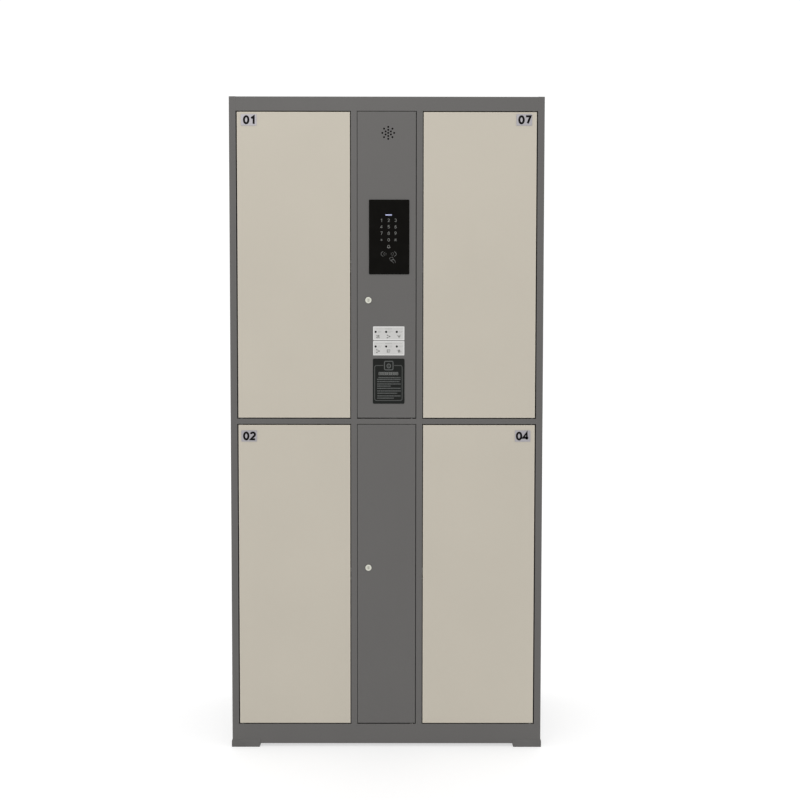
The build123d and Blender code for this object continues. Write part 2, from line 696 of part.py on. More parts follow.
def key_lock(z, door_name):
    """Barrel with its nut, and the plug that carries the cam. The cam hangs down unlocked."""
    cam_front = FRONT + CAM_SETBACK
    plug_face = FRONT - LOCK_HEAD_PROUD + PLUG_RECESS
    head_edge = 0.8
    bore_edge = 0.5
    barrel_length = 21
    nut_thick = 5
    nut_size = 12.5
    key_slot = (1.8, 7)
    key_slot_depth = 4
    retainer = 2
    with BuildPart() as barrel:
        with BuildSketch(facing(FRONT)):
            with Locations((KEY_LOCK_X, z)):
                Circle(LOCK_HEAD)
        extrude(amount=LOCK_HEAD_PROUD)
        fillet(barrel.edges().group_by(Axis.Y)[0], radius=head_edge)
        with BuildSketch(facing(FRONT)):
            with Locations((KEY_LOCK_X, z)):
                Circle(LOCK_BARREL)
        extrude(amount=-barrel_length)
        with BuildSketch(facing(FRONT - LOCK_HEAD_PROUD)):
            with Locations((KEY_LOCK_X, z)):
                Circle(LOCK_BORE)
        extrude(amount=-barrel_length - LOCK_HEAD_PROUD, mode=Mode.SUBTRACT)
        chamfer(barrel.edges().group_by(Axis.Y)[0].sort_by(SortBy.RADIUS)[0], length=bore_edge)
        with BuildSketch(facing(DOOR_INNER)):
            with Locations((KEY_LOCK_X, z)):
                RegularPolygon(nut_size, 6)
                Circle(LOCK_BARREL + NUT_PLAY, mode=Mode.SUBTRACT)
        extrude(amount=-nut_thick)
    with BuildPart() as plug:
        with BuildSketch(facing(plug_face)):
            with Locations((KEY_LOCK_X, z)):
                Circle(LOCK_PLUG)
        extrude(amount=plug_face - cam_front)
        with BuildSketch(facing(plug_face)):
            with Locations((KEY_LOCK_X, z)):
                Rectangle(*key_slot)
        extrude(amount=-key_slot_depth, mode=Mode.SUBTRACT)
        with BuildSketch(facing(cam_front)):
            with Locations((KEY_LOCK_X, z)):
                Rectangle(CAM_SQUARE, CAM_SQUARE)
        extrude(amount=-CAM_THICK)
        with BuildSketch(facing(cam_front + CAM_THICK)):
            with Locations((KEY_LOCK_X, z)):
                Circle(LOCK_PLUG)
        extrude(amount=-retainer)
        with BuildSketch(facing(cam_front)):
            with Locations((KEY_LOCK_X, z)):
                Circle(CAM_WIDTH / 2)
                with Locations((0, -CAM_REACH / 2)):
                    Rectangle(CAM_WIDTH, CAM_REACH)
                Rectangle(CAM_SQUARE + 2 * NUT_PLAY, CAM_SQUARE + 2 * NUT_PLAY, mode=Mode.SUBTRACT)
        extrude(amount=-CAM_THICK)
    export(barrel, f"{door_name}_lock_barrel")
    export(plug, f"{door_name}_lock_plug")


def keypad():
    """Touch glass on the front of the control door, and the housing behind it."""
    wall = 2
    depth = 20
    flange = 5
    flange_thick = 1.5
    play = 0.5
    polished_edge = 0.4
    housing_x = (CUTOUT_X[0] + play, CUTOUT_X[1] - play)
    housing_z = (CUTOUT_Z[0] + play, CUTOUT_Z[1] - play)
    flange_x = (CUTOUT_X[0] - flange, CUTOUT_X[1] + flange)
    flange_z = (CUTOUT_Z[0] - flange, CUTOUT_Z[1] + flange)
    with BuildPart() as glass:
        with BuildSketch(facing(FRONT)):
            rectangle(GLASS_X, GLASS_Z, GLASS_CORNER)
        extrude(amount=GLASS_THICK)
        chamfer(glass.edges().group_by(Axis.Y)[0], length=polished_edge)
    with BuildPart() as housing:
        with BuildSketch(facing(FRONT)):
            rectangle(housing_x, housing_z, CUTOUT_CORNER - play)
        extrude(amount=-depth)
        with BuildSketch(facing(DOOR_INNER)):
            rectangle(flange_x, flange_z, CUTOUT_CORNER)
        extrude(amount=-flange_thick)
        with BuildSketch(facing(FRONT + wall)):
            rectangle((housing_x[0] + wall, housing_x[1] - wall), (housing_z[0] + wall, housing_z[1] - wall))
        extrude(amount=-depth, mode=Mode.SUBTRACT)
    export(glass, "keypad_glass")
    export(housing, "keypad_housing")


def speaker():
    """Small round loudspeaker behind the holes of the control door."""
    rim = SPEAKER_Z + 25
    surround = SPEAKER_Z + 19.5
    basket = SPEAKER_Z + 21
    magnet = SPEAKER_Z + 13
    rim_back = DOOR_INNER + 1.5
    magnet_front = DOOR_INNER + 8
    magnet_back = DOOR_INNER + 15
    with BuildPart() as driver:
        with BuildSketch(Plane.YZ.offset(SPEAKER_X)):
            with BuildLine():
                Polyline(
                    (DOOR_INNER + 3, SPEAKER_Z),
                    (DOOR_INNER + 1, surround),
                    (DOOR_INNER, surround),
                    (DOOR_INNER, rim),
                    (rim_back, rim),
                    (rim_back + 1, basket),
                    (magnet_front, magnet),
                    (magnet_back, magnet),
                    (magnet_back, SPEAKER_Z),
                    close=True,
                )
            make_face()
        revolve(axis=Axis((SPEAKER_X, 0, SPEAKER_Z), (0, 1, 0)))
    export(driver, "speaker")


def printed_plates():
    """Two stuck-on labels and the notice plate under them."""
    bevel = 0.2
    with BuildPart() as labels:
        with BuildSketch(facing(FRONT)):
            for z_range in LABEL_Z:
                rectangle(LABEL_X, z_range, LABEL_CORNER)
        extrude(amount=LABEL_THICK)
    with BuildPart() as notice:
        with BuildSketch(facing(FRONT)):
            rectangle(NOTICE_X, NOTICE_Z, NOTICE_CORNER)
        extrude(amount=NOTICE_THICK)
        chamfer(notice.edges().group_by(Axis.Y)[0], length=bevel)
    export(labels, "instruction_labels")
    export(notice, "notice_plate")


# ---- electrical fittings inside the service column ----
def power_inlet():
    """Three-pin mains inlet, clipped into the back panel from outside."""
    cavity = (24, 16.4, 17)
    blade = (2, 4, 15)
    blade_places = ((-7, -2), (0, 2), (7, -2))
    body_depth = 23
    flange = 2.5
    flange_thick = 2
    with BuildPart() as inlet:
        with BuildSketch(facing(BACK)):
            with Locations((0, INLET_Z)):
                RectangleRounded(INLET_BODY[0] + 2 * flange, INLET_BODY[1] + 2 * flange, 2)
        extrude(amount=-flange_thick)
        with BuildSketch(facing(BACK)):
            with Locations((0, INLET_Z)):
                Rectangle(*INLET_BODY)
        extrude(amount=body_depth)
        with BuildSketch(facing(BACK + flange_thick)):
            with Locations((0, INLET_Z)):
                Rectangle(cavity[0], cavity[1])
        extrude(amount=cavity[2], mode=Mode.SUBTRACT)
        with BuildSketch(facing(BACK + flange_thick - cavity[2])):
            with Locations((0, INLET_Z)):
                with Locations(*blade_places):
                    Rectangle(blade[0], blade[1])
        extrude(amount=-blade[2])
    export(inlet, "power_inlet")


def power_supply():
    """Mains power supply block with a vented cover, on the back panel."""
    wide, deep, tall = SUPPLY_BODY
    front = PANEL_Y - deep
    vent = (10, 4)
    vent_pitch = (14, 9)
    vent_depth = 1.5
    terminals = 16          # height and depth of the open terminal step at the foot
    side_wall = 4
    with BuildPart() as supply:
        with Locations((0, front, SUPPLY_Z)):
            Box(wide, deep, tall, align=(Align.CENTER, Align.MIN, Align.CENTER))
        with BuildSketch(facing(front)):
            with Locations((0, SUPPLY_Z + terminals / 2)):
                with GridLocations(vent_pitch[0], vent_pitch[1], 6, 12):
                    SlotOverall(*vent)
        extrude(amount=-vent_depth, mode=Mode.SUBTRACT)
        with BuildSketch(facing(front)):
            with Locations((0, SUPPLY_Z - tall / 2 + terminals / 2)):
                Rectangle(wide - 2 * side_wall, terminals)
        extrude(amount=-terminals, mode=Mode.SUBTRACT)
    export(supply, "power_supply")


def controller_unit():
    """Tray and lid on the back panel, with the door controller board between them."""
    wide, deep, tall = CONTROLLER
    wall = 1.5
    lid_corner = 2
    front = PANEL_Y - deep
    post = 12
    post_radius = 3
    post_inset = 15
    board_inset = 8
    board_thick = 1.6
    board_back = PANEL_Y - wall - post
    part_height = 11
    terminal_row = (70, 10)
    terminal_places = ((0, 66), (0, -66))
    relay = (15, 19)
    relay_pitch = 19
    chip = (14, 14)
    chip_places = ((-25, -38), (22, 38))
    with BuildPart() as unit:
        with Locations((0, front, CONTROLLER_Z)):
            Box(wide, deep, tall, align=(Align.CENTER, Align.MIN, Align.CENTER))
        with Locations((0, front, CONTROLLER_Z)):
            Box(wide - 2 * wall, deep - wall, tall - 2 * wall,
                align=(Align.CENTER, Align.MIN, Align.CENTER), mode=Mode.SUBTRACT)
        with BuildSketch(facing(PANEL_Y - wall)):
            with Locations((0, CONTROLLER_Z)):
                with GridLocations(wide - 2 * post_inset, tall - 2 * post_inset, 2, 2):
                    Circle(post_radius)
        extrude(amount=post)
    with BuildPart() as lid:
        with BuildSketch(facing(front)):
            with Locations((0, CONTROLLER_Z)):
                RectangleRounded(wide, tall, lid_corner)
        extrude(amount=wall)
    with BuildPart() as board:
        with BuildSketch(facing(board_back)):
            with Locations((0, CONTROLLER_Z)):
                Rectangle(wide - 2 * board_inset, tall - 2 * board_inset)
        extrude(amount=board_thick)
        with BuildSketch(facing(board_back - board_thick)):
            with Locations((0, CONTROLLER_Z)):
                with Locations(*terminal_places):
                    Rectangle(*terminal_row)
                with GridLocations(relay_pitch, 0, 4, 1):
                    Rectangle(*relay)
                with Locations(*chip_places):
                    Rectangle(*chip)
        extrude(amount=part_height)
    with BuildPart() as whole:
        add(unit.part)
        add(lid.part)
        add(board.part)
    export(whole, "controller_unit")


def cable_duct():
    """Slotted trunking that carries the wiring up the service column."""
    wall = 1.5
    length = DUCT_Z[1] - DUCT_Z[0]
    slot = (5, 18)
    pitch = 20
    with BuildPart() as duct:
        with BuildSketch(Plane.XY.offset(DUCT_Z[0])):
            with Locations((DUCT_X, PANEL_Y - DUCT_DEPTH / 2)):
                Rectangle(DUCT_WIDTH, DUCT_DEPTH)
                Rectangle(DUCT_WIDTH - 2 * wall, DUCT_DEPTH - 2 * wall, mode=Mode.SUBTRACT)
        extrude(amount=length)
        with BuildSketch(Plane.YZ.offset(DUCT_X - DUCT_WIDTH / 2)):
            with Locations((PANEL_Y - DUCT_DEPTH / 2 - 1, sum(DUCT_Z) / 2)):
                with GridLocations(0, pitch, 1, int(length / pitch) - 1):
                    SlotOverall(slot[1], slot[0])
        extrude(amount=DUCT_WIDTH, mode=Mode.SUBTRACT)
    export(duct, "cable_duct")


side_panel()
flat_panel("top_panel", HEIGHT - SHEET, caps_stiles=True)
flat_panel("floor_panel", PLINTH_TOP - SHEET, caps_stiles=False)
flat_panel("bottom_panel", UNDERSIDE, caps_stiles=True)
back_panel()
back_panel_screws()
partition()
shelves()
header_rail()
plinth_rail()
mid_rails()
mullion()
hinge_bushes()
door_buffers()
feet()
parcel_doors()
lock_cases()
lock_bolts()
control_door()
service_door()
key_lock(CONTROL_LOCK_Z, "control_door")
key_lock(SERVICE_LOCK_Z, "service_door")
keypad()
speaker()
printed_plates()
power_inlet()
power_supply()
controller_unit()
cable_duct()
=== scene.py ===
import json
import math
import random

import bmesh
import bpy
from mathutils import Matrix, Vector


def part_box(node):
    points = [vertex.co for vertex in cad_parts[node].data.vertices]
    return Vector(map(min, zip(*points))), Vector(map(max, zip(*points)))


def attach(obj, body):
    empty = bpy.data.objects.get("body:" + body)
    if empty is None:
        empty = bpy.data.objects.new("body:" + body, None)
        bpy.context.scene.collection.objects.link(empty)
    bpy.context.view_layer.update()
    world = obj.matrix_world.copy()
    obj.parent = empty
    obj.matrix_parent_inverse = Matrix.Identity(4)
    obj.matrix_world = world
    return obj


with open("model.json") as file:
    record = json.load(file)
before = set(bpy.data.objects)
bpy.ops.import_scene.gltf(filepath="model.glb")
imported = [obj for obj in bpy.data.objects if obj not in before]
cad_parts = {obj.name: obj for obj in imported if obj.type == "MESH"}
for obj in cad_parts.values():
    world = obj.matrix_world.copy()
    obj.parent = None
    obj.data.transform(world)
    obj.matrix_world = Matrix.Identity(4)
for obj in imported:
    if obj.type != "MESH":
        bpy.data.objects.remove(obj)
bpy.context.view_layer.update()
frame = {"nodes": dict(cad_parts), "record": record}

# Lengths are in metres, in the frame of the CAD model: X to the user's right, Y towards the wall, Z up.
MM = 0.001
PRINT = 0.04 * MM               # thickness of an ink layer
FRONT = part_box("header_rail")[0].y
PARCEL_DOORS = ("01", "02", "07", "04")

GREY = (0.088, 0.0845, 0.0815)
BEIGE = (0.445, 0.410, 0.345)


# ---------------------------------------------------------------- camera and stage
def make_camera():
    """A 50 mm lens at chest height, nearly square on to the front."""
    aside = 0.0312
    distance = 3.1479
    height = 1.1485
    pitch_down = math.radians(2.717)
    yaw = math.radians(-0.120)
    roll = math.radians(0.064)
    camera = bpy.data.objects.new("camera", bpy.data.cameras.new("camera"))
    bpy.context.scene.collection.objects.link(camera)
    camera.data.lens = 50
    camera.data.sensor_width = 36
    camera.data.clip_end = 50
    turn = Matrix.Rotation(yaw, 4, "Z")
    turn @= Matrix.Rotation(math.pi / 2 - pitch_down, 4, "X")
    turn @= Matrix.Rotation(roll, 4, "Z")
    camera.matrix_world = Matrix.Translation((aside, FRONT - distance, height)) @ turn
    bpy.context.scene.camera = camera


def make_world():
    """Even white light from all round, as in a photographer's tent."""
    world = bpy.data.worlds.new("studio")
    world.use_nodes = True
    background = world.node_tree.nodes["Background"]
    background.inputs["Color"].default_value = (1.0, 1.0, 1.0, 1)
    background.inputs["Strength"].default_value = 1.06
    bpy.context.scene.world = world
    bpy.context.scene.view_settings.view_transform = "Standard"


def make_key_light():
    """Soft, slightly warm light from above and in front."""
    place = (-0.5, -2.2, 3.0)
    target = (0, FRONT, 1.4)
    light = bpy.data.lights.new("key", "AREA")
    light.shape = "RECTANGLE"
    light.size = 1.6
    light.size_y = 1.0
    light.energy = 11
    light.color = (1, 0.98, 0.95)
    lamp = bpy.data.objects.new("key", light)
    bpy.context.scene.collection.objects.link(lamp)
    aim = (Vector(target) - Vector(place)).to_track_quat("-Z", "Y")
    lamp.matrix_world = Matrix.Translation(place) @ aim.to_matrix().to_4x4()


def make_floor():
    """Pale floor that glows a little, so that it stays white under the cabinet's soft shadow."""
    corners = [(-14, -10), (14, -10), (14, 16), (-14, 16)]
    bed = bmesh.new()
    bed.faces.new([bed.verts.new((x, y, 0)) for x, y in corners])
    mesh = bpy.data.meshes.new("floor")
    bed.to_mesh(mesh)
    bed.free()
    floor = bpy.data.objects.new("floor", mesh)
    bpy.context.scene.collection.objects.link(floor)
    paint = bpy.data.materials.new("floor_paint")
    paint.use_nodes = True
    shader = paint.node_tree.nodes["Principled BSDF"]
    shader.inputs["Base Color"].default_value = (0.42, 0.42, 0.42, 1)
    shader.inputs["Roughness"].default_value = 0.7
    shader.inputs["Emission Color"].default_value = (1, 1, 1, 1)
    shader.inputs["Emission Strength"].default_value = 0.6
    mesh.materials.append(paint)


# ---------------------------------------------------------------- material building
class NodeTree:
    """Short names for the few node set-ups that the materials share."""

    def __init__(self, name):
        self.material = bpy.data.materials.new(name)
        self.material.use_nodes = True
        self.tree = self.material.node_tree
        self.shader = self.tree.nodes["Principled BSDF"]
        self.place = self.tree.nodes.new("ShaderNodeTexCoord").outputs["Object"]

    def link(self, source, target):
        self.tree.links.new(source, target)

    def stretched(self, scale):
        """The object's coordinates, where a small scale draws a pattern out along that axis."""
        mapping = self.tree.nodes.new("ShaderNodeMapping")
        mapping.inputs["Scale"].default_value = scale
        self.link(self.place, mapping.inputs["Vector"])
        return mapping.outputs["Vector"]

    def noise(self, scale, detail, roughness=0.5, vector=None):
        """Cloudy values round 0.5, with scale clouds to the metre."""
        texture = self.tree.nodes.new("ShaderNodeTexNoise")
        texture.inputs["Scale"].default_value = scale
        texture.inputs["Detail"].default_value = detail
        texture.inputs["Roughness"].default_value = roughness
        self.link(vector or self.place, texture.inputs["Vector"])
        return texture.outputs["Fac"]

    def spread(self, source, low, high, start=0.3, end=0.7):
        """A number that runs from low to high as source runs from start to end."""
        span = self.tree.nodes.new("ShaderNodeMapRange")
        span.inputs["From Min"].default_value = start
        span.inputs["From Max"].default_value = end
        span.inputs["To Min"].default_value = low
        span.inputs["To Max"].default_value = high
        self.link(source, span.inputs["Value"])
        return span.outputs["Result"]

    def mixed(self, factor, first, second):
        """Colour between the first, where factor is 0, and the second, where it is 1."""
        mix = self.tree.nodes.new("ShaderNodeMix")
        mix.data_type = "RGBA"      # its colours are inputs 6 and 7 and output 2
        for socket, value in ((mix.inputs[6], first), (mix.inputs[7], second)):
            if isinstance(value, bpy.types.NodeSocket):
                self.link(value, socket)
            else:
                socket.default_value = (*value, 1)
        self.link(factor, mix.inputs["Factor"])
        return mix.outputs[2]

    def bump(self, height, distance, strength, under=None):
        """Surface relief of a depth in metres, on top of the relief under it."""
        node = self.tree.nodes.new("ShaderNodeBump")
        node.inputs["Strength"].default_value = strength
        node.inputs["Distance"].default_value = distance
        self.link(height, node.inputs["Height"])
        if under is not None:
            self.link(under, node.inputs["Normal"])
        return node.outputs["Normal"]

    def edges(self, radius):
        """A number that rises from 0 on flat ground to 1 along the folded and cut edges."""
        full = 0.06                 # 1 minus the cosine between the two normals where an edge counts in full
        rounded = self.tree.nodes.new("ShaderNodeBevel")
        rounded.samples = 6
        rounded.inputs["Radius"].default_value = radius
        true_normal = self.tree.nodes.new("ShaderNodeNewGeometry").outputs["Normal"]
        match = self.tree.nodes.new("ShaderNodeVectorMath")
        match.operation = "DOT_PRODUCT"
        self.link(rounded.outputs["Normal"], match.inputs[0])
        self.link(true_normal, match.inputs[1])
        return self.spread(match.outputs["Value"], 1, 0, start=1 - full, end=1)

    def finish(self, colour, roughness, normal=None, metallic=0.0, **fixed):
        """Connect the shader. The names in fixed are its sockets, with _ for a space."""
        self.link(colour, self.shader.inputs["Base Color"])
        self.link(roughness, self.shader.inputs["Roughness"])
        if normal is not None:
            self.link(normal, self.shader.inputs["Normal"])
        self.shader.inputs["Metallic"].default_value = metallic
        for socket, value in fixed.items():
            self.shader.inputs[socket.replace("_", " ")].default_value = value
        return self.material


def shade(colour, factor):
    """The same colour, darker or lighter."""
    return tuple(min(1.0, channel * factor) for channel in colour)


def powder_coat(name, colour, rough, painted_edge_highlight):
    """Baked powder paint: fine orange peel, faint clouds, soft handling marks and a painted highlight that
    makes the edges paler.
    """
    n = NodeTree(name)
    cloud = n.noise(scale=3.5, detail=3)
    speck = n.noise(scale=2600, detail=1)
    smear = n.noise(scale=9, detail=4, roughness=0.62, vector=n.stretched((1, 1, 0.35)))
    broad = n.mixed(n.spread(cloud, 0, 1), shade(colour, 0.98), shade(colour, 1.015))
    flecked = n.mixed(n.spread(speck, 0, 0.6, start=0.58, end=0.76), broad, shade(colour, 1.2))
    marked = n.mixed(n.spread(smear, 0, 0.3, start=0.6, end=0.8), flecked, shade(colour, 0.95))
    # Painted highlight: the folded and cut edges are made paler by the factor in painted_edge_highlight, as
    # if they caught the light.
    body = n.mixed(n.edges(radius=3 * MM), marked, shade(colour, painted_edge_highlight))
    roughness = n.spread(smear, rough - 0.05, rough + 0.07, start=0.25, end=0.75)
    waves = n.bump(n.noise(scale=330, detail=2, roughness=0.45), distance=0.1 * MM, strength=0.8)
    peel = n.noise(scale=1500, detail=2, roughness=0.6)
    return n.finish(body, roughness, n.bump(peel, distance=0.02 * MM, strength=0.8, under=waves))


def plastic(name, colour, rough, grain=900, depth=0.02 * MM, shine=0.5):
    """Moulded plastic with a fine spark-eroded grain."""
    n = NodeTree(name)
    cloud = n.noise(scale=14, detail=3)
    body = n.mixed(n.spread(cloud, 0, 1), shade(colour, 0.9), shade(colour, 1.08))
    roughness = n.spread(n.noise(scale=45, detail=3), rough - 0.06, rough + 0.08)
    skin = n.bump(n.noise(scale=grain, detail=2, roughness=0.6), depth, strength=0.8)
    return n.finish(body, roughness, skin, Specular_IOR_Level=shine)


def plated(name, colour, rough, lines, streak, contrast=0.2):
    """Bare or plated metal with the fine lines of rolling or turning, drawn out by the scale in lines."""
    n = NodeTree(name)
    rolled = n.noise(scale=streak, detail=4, roughness=0.6, vector=n.stretched(lines))
    patch = n.noise(scale=28, detail=3)
    body = n.mixed(n.spread(patch, 0, 1), shade(colour, 1 - contrast), colour)
    lined = n.mixed(n.spread(rolled, 0, 0.5), body, shade(colour, 1 - contrast * 0.8))
    roughness = n.spread(rolled, rough - 0.07, rough + 0.1)
    skin = n.bump(rolled, distance=0.01 * MM, strength=0.6)
    return n.finish(lined, roughness, skin, metallic=1.0)


def touch_glass(name):
    """Black back-painted glass with the haze that fingertips leave over the keys."""
    clean = (0.0022, 0.0019, 0.0013)
    hazy = (0.0040, 0.0036, 0.0028)
    n = NodeTree(name)
    haze = n.noise(scale=34, detail=4, roughness=0.6)
    body = n.mixed(n.spread(haze, 0, 1, start=0.4, end=0.9), clean, hazy)
    roughness = n.spread(haze, 0.07, 0.18, start=0.35, end=0.8)
    skin = n.bump(n.noise(scale=12, detail=1), distance=0.02 * MM, strength=0.4)
    return n.finish(body, roughness, skin, Specular_IOR_Level=0.05)


def speaker_cloth(name):
    """Fine black woven cloth, which soaks up what light gets through the holes in front of it."""
    shadow = (0.0012, 0.0012, 0.0012)
    thread = (0.0030, 0.0030, 0.0030)
    n = NodeTree(name)
    warp = n.noise(scale=900, detail=1, vector=n.stretched((1, 1, 0.12)))
    weft = n.noise(scale=900, detail=1, vector=n.stretched((0.12, 1, 1)))
    body = n.mixed(n.spread(warp, 0, 1), shadow, thread)
    under = n.bump(warp, distance=0.04 * MM, strength=0.8)
    woven = n.bump(weft, distance=0.04 * MM, strength=0.8, under=under)
    return n.finish(body, n.spread(weft, 0.85, 1.0), woven, Specular_IOR_Level=0.03)


def printed_film(name, colour, rough, shine=0.5):
    """Polyester label or acrylic sheet: nearly flat, with a soft matt texture."""
    n = NodeTree(name)
    cloud = n.noise(scale=40, detail=3)
    body = n.mixed(n.spread(cloud, 0, 1), shade(colour, 0.96), shade(colour, 1.03))
    roughness = n.spread(n.noise(scale=120, detail=3), rough - 0.05, rough + 0.07)
    skin = n.bump(n.noise(scale=1900, detail=2), distance=0.008 * MM, strength=0.6)
    return n.finish(body, roughness, skin, Specular_IOR_Level=shine)


def ink(name, colour, rough=0.5, shine=0.3):
    """Screen-printed ink, a little uneven at the scale of the screen's mesh."""
    n = NodeTree(name)
    screen = n.noise(scale=2200, detail=2)
    body = n.mixed(n.spread(screen, 0, 1), shade(colour, 0.9), shade(colour, 1.06))
    roughness = n.spread(screen, rough - 0.05, rough + 0.05)
    skin = n.bump(screen, distance=0.006 * MM, strength=0.5)
    return n.finish(body, roughness, skin, Specular_IOR_Level=shine)


def glowing(name, colour, strength=1.0):
    """Lamp behind a diffuser, a little uneven."""
    n = NodeTree(name)
    ripple = n.noise(scale=160, detail=2)
    light = n.mixed(n.spread(ripple, 0, 1), shade(colour, 0.9), colour)
    n.link(light, n.shader.inputs["Emission Color"])
    n.shader.inputs["Emission Strength"].default_value = strength
    body = n.mixed(ripple, shade(colour, 0.04), shade(colour, 0.06))
    return n.finish(body, n.spread(ripple, 0.3, 0.45), Specular_IOR_Level=0.1)


def make_paints():
    """The material of each finish slot in the record."""
    upright = (1, 1, 0.04)
    short_upright = (1, 1, 0.2)
    level = (0.05, 1, 1)
    long_level = (0.03, 1, 1)
    turned = (1, 1, 1)
    return {
        "cabinet_paint": powder_coat("cabinet_powder_coat", GREY, rough=0.5, painted_edge_highlight=1.12),
        "door_paint": powder_coat("door_powder_coat", BEIGE, rough=0.44, painted_edge_highlight=1.2),
        "zinc_steel": plated("zinc_plate", (0.60, 0.59, 0.56), 0.34, upright, streak=500),
        "pivot_steel": plated("blackened_steel", (0.10, 0.10, 0.105), 0.42, short_upright, streak=700),
        "tag_metal": plated("tag_plate", (0.395, 0.38, 0.40), 0.42, long_level, streak=900, contrast=0.1),
        "lock_metal": plated("lock_nickel", (0.67, 0.67, 0.595), 0.36, turned, streak=700, contrast=0.08),
        "keypad_glass": touch_glass("keypad_touch_glass"),
        "white_label": printed_film("label_film", (0.485, 0.48, 0.47), rough=0.4),
        "black_acrylic": printed_film("notice_acrylic", (0.0095, 0.0105, 0.0095), rough=0.38, shine=0.1),
        "black_plastic": plastic("black_moulding", (0.016, 0.016, 0.017), rough=0.42),
        "bush_plastic": plastic("acetal", (0.72, 0.70, 0.64), rough=0.35, grain=400),
        "rubber": plastic("buffer_rubber", (0.022, 0.022, 0.022), 0.72, grain=700, depth=0.04 * MM),
        "foot_plastic": plastic("foot_moulding", (0.097, 0.0945, 0.0915), 0.5, 600, 0.03 * MM, shine=0.35),
        "supply_metal": plated("supply_cover", (0.66, 0.66, 0.65), 0.36, level, streak=420, contrast=0.15),
        "duct_plastic": plastic("duct_pvc", (0.33, 0.34, 0.35), rough=0.5, grain=500),
    }


def make_inks():
    """The materials of the print, the lamps and the circuit board."""
    return {
        "black": ink("ink_black", (0.0015, 0.0015, 0.0015), shine=0.1),
        "key_grey": ink("ink_key_grey", (0.155, 0.155, 0.147)),
        "key_dim": ink("ink_key_dim", (0.10, 0.10, 0.096)),
        "label_pale": ink("ink_label_pale", (0.68, 0.68, 0.67)),
        "label_grey": ink("ink_label_grey", (0.34, 0.34, 0.33)),
        "label_dark": ink("ink_label_dark", (0.20, 0.20, 0.19)),
        "notice_dim": ink("ink_notice_dim", (0.06, 0.063, 0.06)),
        "notice_grey": ink("ink_notice_grey", (0.075, 0.08, 0.077)),
        "notice_bright": ink("ink_notice_bright", (0.16, 0.165, 0.158)),
        "status": glowing("status_glow", (0.47, 0.50, 0.74)),
        "lamp_green": glowing("lamp_glow", (0.10, 0.62, 0.18), strength=0.8),
        "board_green": printed_film("board_resist", (0.012, 0.075, 0.03), rough=0.36),
        "board_track": ink("board_track", (0.03, 0.14, 0.06), rough=0.35),
    }


def paint_cad_nodes(paints):
    """Give each node the material of its slot, apart from the few that look different from the rest."""
    slots = {entry["node"]: entry["material_slot"] for entry in frame["record"]["subparts"]}
    plug_nickel = plated("plug_nickel", (0.55, 0.55, 0.485), 0.4, (1, 1, 1), streak=900, contrast=0.12)
    own_materials = {
        "speaker": speaker_cloth("speaker_cloth"),
        "control_door_lock_plug": plug_nickel,
        "service_door_lock_plug": plug_nickel,
    }
    for name, node in frame["nodes"].items():
        material = own_materials.get(name) or paints[slots[name]]
        if not node.material_slots:
            node.data.materials.append(material)
        for slot in node.material_slots:
            slot.material = material


# ---------------------------------------------------------------- outlines, as points (x, z)
def arc(centre, radii, start, end, steps=14):
    """Points of an elliptical arc, from start to end degrees, anticlockwise if end is greater."""
    points = []
    for step in range(steps + 1):
        angle = math.radians(start + (end - start) * step / steps)
        points.append((centre[0] + radii[0] * math.cos(angle), centre[1] + radii[1] * math.sin(angle)))
    return points


def ring(centre, radii, steps=28):
    """Closed outline of an ellipse."""
    return arc(centre, radii, 0, 360, steps)[:-1]


def box_outline(x_range, z_range):
    """Closed outline of a rectangle, anticlockwise."""
    left, right = x_range
    foot, head = z_range
    return [(left, foot), (right, foot), (right, head), (left, head)]


def rounded_box(x_range, z_range, radius, steps=6):
    """Closed outline of a rounded rectangle, anticlockwise."""
    low_x, high_x = x_range[0] + radius, x_range[1] - radius
    low_z, high_z = z_range[0] + radius, z_range[1] - radius
    corners = (((high_x, high_z), 0), ((low_x, high_z), 90), ((low_x, low_z), 180), ((high_x, low_z), 270))
    outline = []
    for centre, start in corners:
        outline += arc(centre, (radius, radius), start, start + 90, steps)
    return outline


def around(middle, half):
    """The two values that lie half to each side of the middle."""
    return (middle - half, middle + half)


def placed(points, centre, size):
    """The same points at another size, moved from the origin to centre."""
    return [(centre[0] + x * size, centre[1] + z * size) for x, z in points]


def ribbon(points, width, closed):
    """Left and right edges of a line drawn along the points, mitred at its corners."""
    sharpest = 0.45             # cosine past which a mitre gets no longer
    count = len(points)
    sides = []
    for index, point in enumerate(points):
        before = points[index - 1] if index or closed else None
        after = points[(index + 1) % count] if index < count - 1 or closed else None
        here = Vector(point)
        into = (here - Vector(before)).normalized() if before is not None else None
        out = (Vector(after) - here).normalized() if after is not None else None
        along = ((into or out) + (out or into)).normalized()
        across = Vector((-along.y, along.x))
        cosine = max(sharpest, across.dot(Vector((-(into or out).y, (into or out).x))))
        sides.append((here + across * width / 2 / cosine, here - across * width / 2 / cosine))
    return sides


# ---------------------------------------------------------------- pieces
class Piece:
    """One mesh in the making, which rides on a body and takes the material it is given."""

    def __init__(self, name, body, material, slot_name):
        self.name = name
        self.body = body
        self.material = material
        self.slot_name = slot_name
        self.work = bmesh.new()

    def done(self):
        """Turn the mesh into an object of the scene."""
        bmesh.ops.recalc_face_normals(self.work, faces=self.work.faces)
        mesh = bpy.data.meshes.new(self.name)
        self.work.to_mesh(mesh)
        self.work.free()
        mesh.materials.append(self.material)
        piece = bpy.data.objects.new(self.name, mesh)
        bpy.context.scene.collection.objects.link(piece)
        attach(piece, self.body)


